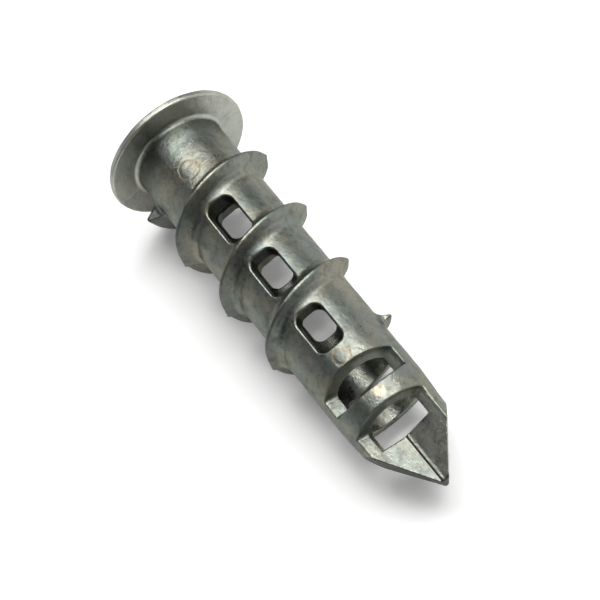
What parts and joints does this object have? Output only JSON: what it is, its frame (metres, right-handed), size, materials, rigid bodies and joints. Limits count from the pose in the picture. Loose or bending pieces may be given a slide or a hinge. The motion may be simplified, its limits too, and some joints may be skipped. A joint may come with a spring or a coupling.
{
  "type": "self-drilling wall anchor",
  "caption": "Die-cast self-drilling plasterboard anchor: thin round flange, coarse outer thread, windowed hollow shank, and an open cage that ends in a flat drill point.",
  "frame": {"origin": "on the anchor's axis, in the plane of the flange's underside, which bears on the wall", "axes": "+Y along the axis towards the drill point, into the wall; +Z and -Z out of the two windowed faces that the halves of the die pulled away from"},
  "size_m": [0.0132, 0.038, 0.0132],
  "materials": {
    "zinc_casting": "as-cast zinc alloy, dull grey, fine grain, slightly uneven"
  },
  "bodies": {
    "root": {"flange": "zinc_casting", "neck_front": "zinc_casting", "neck_back": "zinc_casting", "shank_front_1": "zinc_casting", "shank_front_2": "zinc_casting", "shank_front_3": "zinc_casting", "shank_back_1": "zinc_casting", "shank_back_2": "zinc_casting", "shank_back_3": "zinc_casting", "collar_front": "zinc_casting", "collar_back": "zinc_casting", "rung_front": "zinc_casting", "rung_back": "zinc_casting", "rail_left": "zinc_casting", "rail_right": "zinc_casting", "point_left": "zinc_casting", "point_right": "zinc_casting"}
  },
  "joints": []
}
